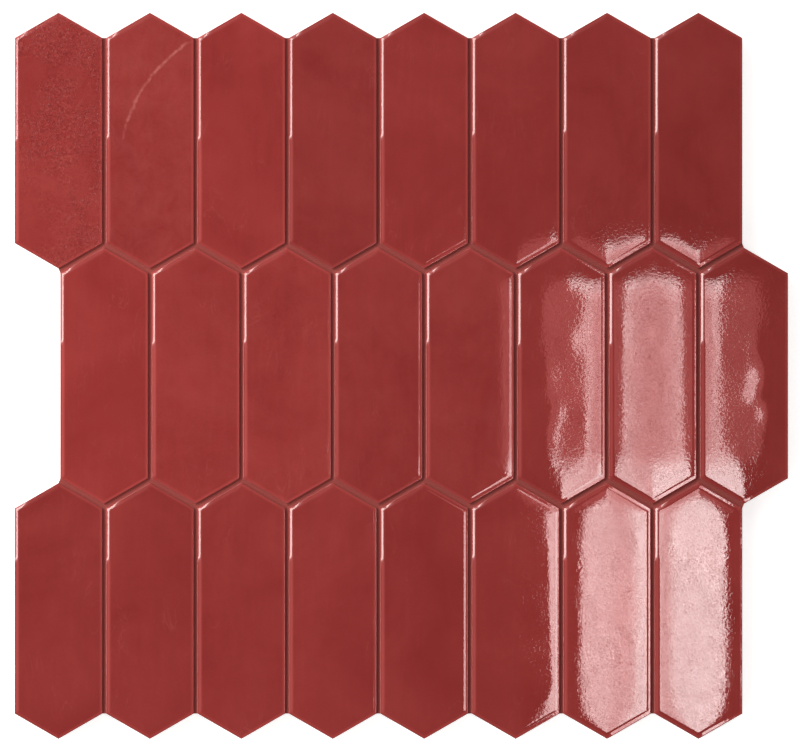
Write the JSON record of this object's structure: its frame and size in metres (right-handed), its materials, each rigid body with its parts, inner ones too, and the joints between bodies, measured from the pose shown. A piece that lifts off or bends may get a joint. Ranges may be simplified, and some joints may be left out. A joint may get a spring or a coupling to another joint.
{
  "type": "mosaic tile sheet",
  "caption": "Mosaic sheet of long, pointed glazed ceramic tiles in staggered rows, with flexible coloured joints, bonded to a glass-fibre backing mesh and lying flat",
  "frame": {"origin": "on the floor, under the middle of the sheet's bounding box", "axes": "+X along the rows, towards the side where the middle row stands out; +Y across the rows; +Z out of the glazed faces"},
  "size_m": [0.2998, 0.2814, 0.0088],
  "materials": {
    "tile_glaze": "glossy brick-red glaze with a softly uneven surface",
    "joint_filler": "matt, fine-grained, brownish red",
    "backing_mesh": "open glass-fibre net with a translucent adhesive"
  },
  "bodies": {
    "root": {"tile_row1_1": "tile_glaze", "tile_row1_2": "tile_glaze", "tile_row1_3": "tile_glaze", "tile_row1_4": "tile_glaze", "tile_row1_5": "tile_glaze", "tile_row1_6": "tile_glaze", "tile_row1_7": "tile_glaze", "tile_row1_8": "tile_glaze", "tile_row2_1": "tile_glaze", "tile_row2_2": "tile_glaze", "tile_row2_3": "tile_glaze", "tile_row2_4": "tile_glaze", "tile_row2_5": "tile_glaze", "tile_row2_6": "tile_glaze", "tile_row2_7": "tile_glaze", "tile_row2_8": "tile_glaze", "tile_row3_1": "tile_glaze", "tile_row3_2": "tile_glaze", "tile_row3_3": "tile_glaze", "tile_row3_4": "tile_glaze", "tile_row3_5": "tile_glaze", "tile_row3_6": "tile_glaze", "tile_row3_7": "tile_glaze", "tile_row3_8": "tile_glaze", "joint_filler": "joint_filler", "backing_mesh": "backing_mesh"}
  },
  "joints": []
}
